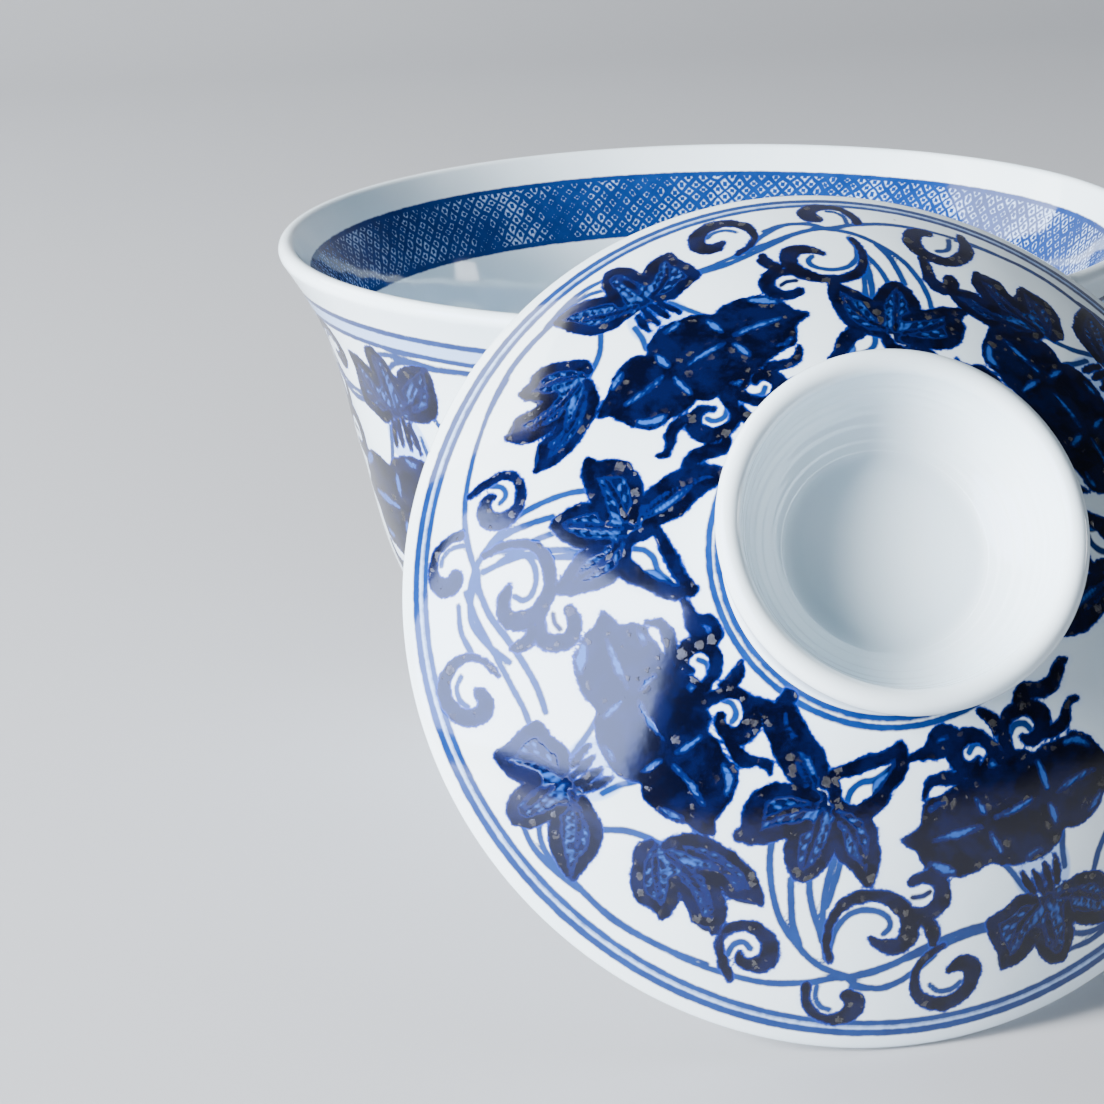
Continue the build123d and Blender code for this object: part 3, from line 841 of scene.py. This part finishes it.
speck = calc("MULTIPLY", calc("MULTIPLY", speck, patchy), rim_of_ink)
speck_tint = mixed(quick, (0.02, 0.018, 0.016, 1), (0.20, 0.195, 0.19, 1))
colour = mixed(calc("MULTIPLY", speck, 0.9), colour, speck_tint)
thick = calc("ADD", calc("MULTIPLY", fringe, 0.5), speck)
dull_speck = calc("MULTIPLY_ADD", speck, 0.33, 0.07)
feed(out, {
    "Color": colour, "Metal": calc("MULTIPLY", speck, 0.85), "Thickness": thick,
    "Roughness": calc("MULTIPLY_ADD", fringe, 0.05, dull_speck),
})
print("painting group", len(painting.nodes), "nodes")

# %% [markdown]
# Clear glaze is never quite level or quite one colour: it pools bluish, and its surface has a
# slow ripple. A second group gives that white and that ripple, and all four pieces share it.

# %% The glaze group
given, out = group(
    "porcelain_glaze", {"Place": "Vector", "Tint": "Color", "Deep": "Color"},
    {"White": "Color", "Ripple": "Float"},
)
glaze, place = out.id_data, given["Place"]
fine = noise(place, 700, 2.0)
shade = calc("MULTIPLY_ADD", fine, 0.12, mask(noise(place, 55, 3.0), 0.3, 0.75))
white = mixed(calc("MULTIPLY", shade, 0.8), given["Tint"], given["Deep"])
# Pinholes: dark dots, and only in a few places
pits = node(glaze, "ShaderNodeTexVoronoi", {"Vector": place, "Scale": 160.0})
pit = calc("MULTIPLY", mask(pits.outputs["Distance"], 0.035, 0.015),
           mask(noise(place, 60, 0.0), 0.6, 0.66))
white = mixed(calc("MULTIPLY", pit, 0.55), white, (0.16, 0.14, 0.12, 1))
ripple = calc("ADD", noise(place, 120, 1.0), calc("MULTIPLY", fine, 0.06))
feed(out, {"White": white, "Ripple": ripple})
print("glaze group", len(glaze.nodes), "nodes")


def glazed(place):
    """The glaze group's outputs in the material whose Object coordinates these are."""
    tints = {"Tint": (0.76, 0.87, 0.94, 1), "Deep": (0.66, 0.80, 0.89, 1)}
    return placed(place.id_data, glaze, {"Place": place, **tints})


def stored(tree, name):
    """A distance that the piece's points keep."""
    return node(
        tree, "ShaderNodeAttribute", attribute_name=name, attribute_type="GEOMETRY"
    ).outputs["Fac"]


def painted_finish(name, extra=None):
    """Painted porcelain: the stored distances through the painting group, over the glaze."""
    made, shader, place = material(name, 0.08)
    tree = made.node_tree
    clear = glazed(place)
    inputs = {"Place": place, "White": clear["White"]}
    inputs.update((kind.capitalize(), stored(tree, kind)) for kind in KINDS)
    if extra:
        inputs = extra(tree, place, inputs)
    over = placed(tree, painting, inputs)
    feed(shader, {
        "Base Color": over["Color"], "Roughness": over["Roughness"], "Metallic": over["Metal"],
    })
    ripple = calc("MULTIPLY", clear["Ripple"], 0.16)
    emboss(shader, calc("MULTIPLY_ADD", over["Thickness"], 0.02, ripple), 0.8, mm)
    return made


lid.data.materials.append(painted_finish("painted_porcelain_lid"))
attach(lid, "lid")
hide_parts("lid_dome")

# %% [markdown]
# The knob is a hollow ring that was thrown apart and stuck on. It is also the lid's foot when the
# lid is turned over. Its lip is thick and round, its inside slopes down in faint throwing rings
# to a flat floor, and where it meets the dome the slip was smoothed into a small hollow.

# %% The knob
crown = lid_height
knob_tube = 1.2
lip_middle = np.array([15.9, 26.7])
waist = 14.8


def dome_height(radius):
    """Height of the dome's outside at a distance from its axis."""
    return dome_sunk + math.sqrt(dome_ball**2 - radius**2)


outer_wall = smooth_line(
    [(waist + 0.2, dome_height(waist + 0.2) - 0.02), (waist, dome_height(waist) + 0.5),
     (15.5, 22.4), (17.1, 26.7)], (-0.6, 0.6), (0.12, 1), 16)
lip_turn = np.linspace(0, math.pi, 25)[1:, None]
lip = lip_middle + knob_tube * np.hstack([np.cos(lip_turn), np.sin(lip_turn)])
floor_level = crown + 0.06
inner_wall = smooth_line(
    [(14.7, 26.7), (13.8, 23.8), (12.5, 21.85), (11.2, 20.6), (10.3, floor_level + 0.58),
     (9.75, floor_level + 0.24)], (-0.12, -1), (-1, -0.55), 16)
throwing = 0.035 * np.sin(2 * np.pi * inner_wall[:, 1] / 0.9) * np.clip(
    (26.2 - inner_wall[:, 1]) / 2, 0, 1)
for ridge_radius, ridge_height in ((10.7, 0.09), (11.9, 0.05)):
    throwing -= ridge_height * np.exp(-((inner_wall[:, 0] - ridge_radius) / 0.17) ** 2)
inner_wall[:, 0] += throwing
well_floor = smooth_line(
    [(9.75, floor_level + 0.24), (9.3, floor_level + 0.05), (8.7, floor_level - 0.03),
     (7.5, floor_level), (0, floor_level + 0.05)], (-1, -0.5), (-1, 0), 10)
under = np.array([
    (0, crown - 0.6), (9, dome_height(9) - 0.6), (waist - 0.2, dome_height(waist) - 0.6)])
knob_profile = np.vstack([
    under, evenly(outer_wall, 0.25), lip, evenly(inner_wall[1:], 0.12), well_floor[1:]])
knob = turned_skin("lid_knob_ring", knob_profile, 288, on_lid)
knob_finish, shader, place = material("white_porcelain_knob", 0.07)
clear = glazed(place)
feed(shader, {"Base Color": clear["White"]})
emboss(shader, clear["Ripple"], 0.5, 0.2 * mm)
knob.data.materials.append(knob_finish)
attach(knob, "lid")
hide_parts("lid_knob")

# %% [markdown]
# The bowl's outside climbs from the foot in a full curve, draws in at the neck and flares to the
# lip. The wall is about as thick all the way up, so the inside follows it. The lip is round.

# %% The bowl
bowl_height, rim_radius, lip_round = 62.5, 50.0, 1.0
foot_radius, foot_height, floor_height = 21.5, 5.5, 8.7
bowl_lip = np.array([rim_radius - lip_round, bowl_height - lip_round])
lip_way = math.radians(58)
outside = smooth_line(
    [(foot_radius, foot_height), (31.4, 12.3), (38.3, 24), (41.8, 38), (45.2, 52),
     tuple(bowl_lip + lip_round * np.array([math.sin(lip_way), -math.cos(lip_way)]))],
    (math.cos(math.radians(22)), math.sin(math.radians(22))),
    (math.cos(lip_way), math.sin(lip_way)), 40)
around_lip = np.linspace(lip_way - math.pi / 2, lip_way + math.pi / 2, 13)[1:-1, None]
bowl_round = bowl_lip + lip_round * np.hstack([np.cos(around_lip), np.sin(around_lip)])
inside = smooth_line(
    [tuple(bowl_lip - lip_round * np.array([math.sin(lip_way), -math.cos(lip_way)])),
     (42.7, 52.7), (39.28, 38.63), (35.83, 24.8), (29.47, 14.04), (18.1, floor_height)],
    (-math.cos(lip_way), -math.sin(lip_way)), (-1, 0), 40)
bowl_columns = 560
outer_rows = evenly(outside, 0.55)
inner_rows = evenly(inside, 2.2)
bowl_start = [(0, foot_height), (foot_radius - 0.4, foot_height)]
bowl_end = [(9, floor_height), (0, floor_height)]
bowl_profile = np.vstack([bowl_start, outer_rows, bowl_round, inner_rows, bowl_end])
bowl = turned_skin("bowl_painted", bowl_profile, bowl_columns, upright)

# %% [markdown]
# The bowl carries the same branch. On the lid it lies on a near-flat disc, and here on a wall that
# stands up, so the drawing has to be spread without bending its shapes. The wall's own scale does
# that: going down, the reach shrinks at the same rate as the branch grows, which keeps each leaf
# as tall as it is wide. The border lies just under the lip, and the leaves grow down from it.

# %% Paint the bowl
def bowl_points(first, values, elsewhere):
    """For each point of the bowl's skin: its row's value, where values belong to the rows of the
    profile from first on, and the other rows have the value elsewhere."""
    rows = np.full(len(bowl_profile), float(elsewhere))
    rows[first:first + len(values)] = values
    return skin_points(rows, bowl_columns)[0]


border_depth, border_reach = 3.6, 46.9
depth = run_along(outer_rows[::-1])[::-1]
order = np.argsort(depth)
wall_depth, wall_radius = depth[order], outer_rows[order][:, 0]
shrink = np.append(0, np.cumsum(np.diff(wall_depth) * 2 / (wall_radius[1:] + wall_radius[:-1])))
shrink_at = np.interp(depth, wall_depth, shrink) - np.interp(border_depth, wall_depth, shrink)
outer_reach = border_reach * np.exp(-shrink_at)
first_outer = len(bowl_start)
reach = bowl_points(first_outer, outer_reach, 0)
scale = bowl_points(first_outer, outer_rows[:, 0] / outer_reach, 1)
deep = bowl_points(first_outer, depth, -1)
_, angle = skin_points(np.zeros(len(bowl_profile)), bowl_columns)
wall = np.flatnonzero(deep > 0)
painted = wall[reach[wall] > paint_starts]
bowl_layers = empty_layers(len(reach))
leaf_places = [(253, 0, 0), (163, 0, 0.3), (73, 0.4, 0), (343, -0.3, 0.2)]
melon_places = [(296.5, 0, 0), (206.5, 0.3, 0), (116.5, 0, 0.3), (26.5, -0.4, 0)]
paint_round(
    bowl_layers, painted, angle[painted], reach[painted], scale[painted],
    [(part, leaf_places) for part in leaf_parts] + [(part, melon_places) for part in melon_parts])
paint_rings(bowl_layers, wall, deep, [
    ("line", 3.6, 0.6), ("pale", 4.8, 2.2), ("line", 6.0, 0.5), ("line", 54.5, 0.45),
    ("line", 56.2, 0.8),
])
# The diaper band reads the depth inside the lip. Outside it is -5 and on the floor 60, well clear
outside_all, on_floor = -5, 60
inner_depth = run_along(inner_rows)
first_inner = first_outer + len(outer_rows) + len(bowl_round)
inside_depth = np.append(inner_depth, [on_floor] * len(bowl_end))
store(bowl, {**bowl_layers, "inside": bowl_points(first_inner, inside_depth, outside_all)})
print("wall outside", round(float(depth.max()), 1), "mm, inside", round(float(inner_depth[-1]), 1))

# %% [markdown]
# Inside, just under the lip, runs a band of diaper: small lozenges, each with a dot. It is so
# regular that it can come from the shader: the angle round the bowl and the depth inside the lip
# are turned into two sets of slanting lines, and both are wavy, as a quick hand makes them.

# %% The diaper band and the bowl's finish
BAND_MIDDLE, BAND_HALF = 7.4, 3.9
LOZENGES, LOZENGE_HEIGHT, BAND_RADIUS = 150, 1.95, 46


def with_diaper(tree, place, inputs):
    """Adds the band to the lines and the pale wash that the painting group gets."""
    parts = node(tree, "ShaderNodeSeparateXYZ", {0: place}).outputs
    turns = calc("MULTIPLY", calc("ARCTAN2", parts[1], parts[0]), LOZENGES / (2 * math.pi))
    depth = stored(tree, "inside")
    wobble = calc("MULTIPLY_ADD", noise(place, 450, 2.0), 0.8, -0.4)
    uneven = calc("MULTIPLY_ADD", noise(place, 150, 2.0), 0.9, -0.65)
    rows = calc("MULTIPLY_ADD", depth, 1 / LOZENGE_HEIGHT, wobble)
    cell = 2 * math.pi * BAND_RADIUS / LOZENGES
    slants = []
    for way in ("ADD", "SUBTRACT"):
        phase = calc("FRACT", calc(way, turns, rows))
        slants.append(calc("ABSOLUTE", calc("SUBTRACT", phase, 0.5)))
    lattice = calc("MULTIPLY_ADD", calc("MINIMUM", *slants), cell * 0.7, uneven)
    heart = calc("SUBTRACT", 1.0, calc("ADD", *slants))
    dot = calc("MULTIPLY_ADD", heart, cell * 0.7, -0.30)
    pattern = calc("MINIMUM", lattice, dot)
    from_middle = calc("ABSOLUTE", calc("SUBTRACT", depth, BAND_MIDDLE))
    edge = calc("SUBTRACT", from_middle, BAND_HALF)
    band = calc("MAXIMUM", pattern, edge)
    border = calc("SUBTRACT", calc("ABSOLUTE", edge), 0.22)
    inputs["Line"] = calc("MINIMUM", inputs["Line"], calc("MINIMUM", band, border))
    inputs["Pale"] = calc("MINIMUM", inputs["Pale"], edge)
    return inputs


bowl.data.materials.append(painted_finish("painted_porcelain_bowl", with_diaper))
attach(bowl, "bowl")
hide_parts("bowl_body")

# %% [markdown]
# The foot ring is glazed on its sides. The potter wipes the edge that it stands on, so that the
# bowl doesn't stick to the kiln shelf, and there the bare body shows: rough, and a warmer white.

# %% The foot ring
def rounded_corner(corner, before, after, radius, steps=5):
    """A corner's arc, worked out as the quarter turn between the two runs that meet there."""
    corner, before, after = (np.asarray(part, float) for part in (corner, before, after))
    into = (corner - before) / np.linalg.norm(corner - before)
    out = (after - corner) / np.linalg.norm(after - corner)
    t = np.linspace(0, 1, steps)[:, None]
    a, b = corner - radius * into, corner + radius * out
    return (1 - t) ** 2 * a + 2 * t * (1 - t) * corner + t**2 * b


tucked = 0.4
foot_corners = [(18.1, foot_height + tucked), (18.8, 0), (20.8, 0), (21.5, foot_height)]
stand_in = rounded_corner(foot_corners[1], foot_corners[0], foot_corners[2], 0.35)
stand_out = rounded_corner(foot_corners[2], foot_corners[1], foot_corners[3], 0.35)
outer_side = np.linspace(stand_out[-1], foot_corners[3], 8)[1:]
inner_side = np.linspace(foot_corners[0], stand_in[0], 8)[:-1]
foot_profile = np.vstack([
    inner_side, stand_in, stand_out, outer_side, [(21.3, foot_height + tucked)]])
foot = turned_skin("bowl_foot", foot_profile, 256, upright, hollow=True)
foot_finish, shader, place = material("white_porcelain_foot", 0.1)
height = node(place.id_data, "ShaderNodeSeparateXYZ", {0: place}).outputs[2]
ragged = calc("MULTIPLY_ADD", noise(place, 500, 2.0), 0.6 * mm, -0.3 * mm)
bare = mask(calc("ADD", height, ragged), 0.75 * mm, 0.6 * mm)
grit = noise(place, 2500, 3.0)
clay = mixed(grit, (0.60, 0.52, 0.43, 1), (0.78, 0.72, 0.64, 1))
feed(shader, {
    "Base Color": mixed(bare, glazed(place)["White"], clay),
    "Roughness": calc("MULTIPLY_ADD", bare, 0.6, 0.1),
})
emboss(shader, calc("MULTIPLY", calc("MULTIPLY", grit, bare), 0.5), 0.6, 0.2 * mm)
foot.data.materials.append(foot_finish)
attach(foot, "bowl")
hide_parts("bowl_foot_ring")
